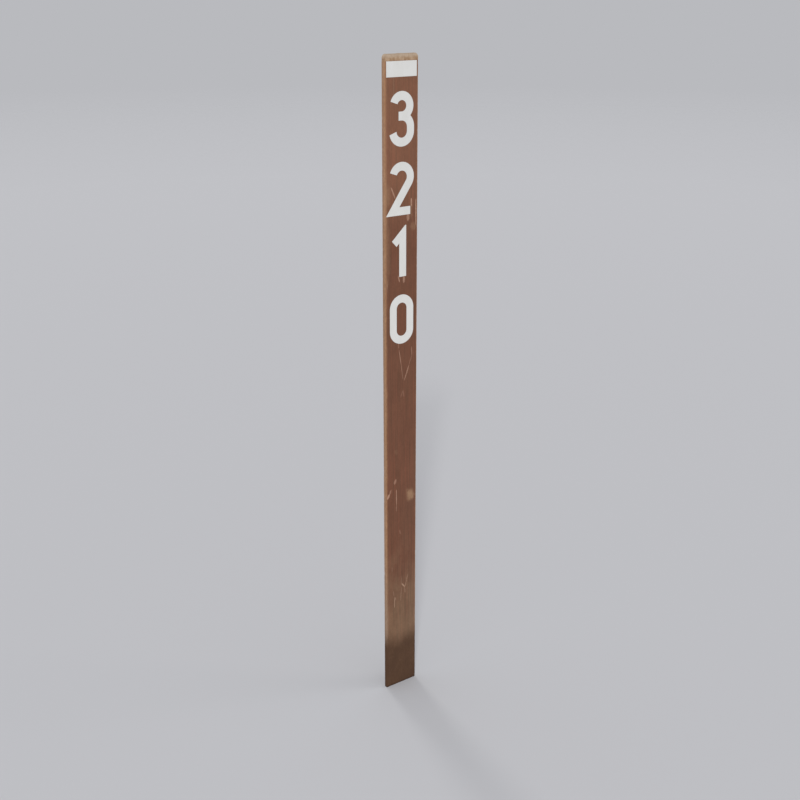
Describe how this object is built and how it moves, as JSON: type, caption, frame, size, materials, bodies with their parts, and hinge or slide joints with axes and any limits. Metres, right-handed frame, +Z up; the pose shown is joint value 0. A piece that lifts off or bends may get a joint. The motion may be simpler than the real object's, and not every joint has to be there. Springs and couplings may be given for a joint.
{
  "type": "road number post",
  "caption": "Flat flexible composite post for a road verge, with stiffening ribs at the back, a white reflective strip and large stuck-on numerals one under the other.",
  "frame": {"origin": "centre of the ground end, in the middle of the post's width and of its depth over the ribs", "axes": "+Z up along the post, +X to the right across the face, the numbered face looks along -Y"},
  "size_m": [0.0952, 0.0099, 1.6764],
  "materials": {
    "composite": "brown pultruded glass-fibre composite, matt, with tan wear on the edges and soil on the foot",
    "sheeting": "white retroreflective sheeting, die cut, satin"
  },
  "bodies": {
    "root": {"post": "composite", "reflector_strip": "sheeting", "numeral_1": "sheeting", "numeral_2": "sheeting", "numeral_3": "sheeting", "numeral_4": "sheeting"}
  },
  "joints": []
}
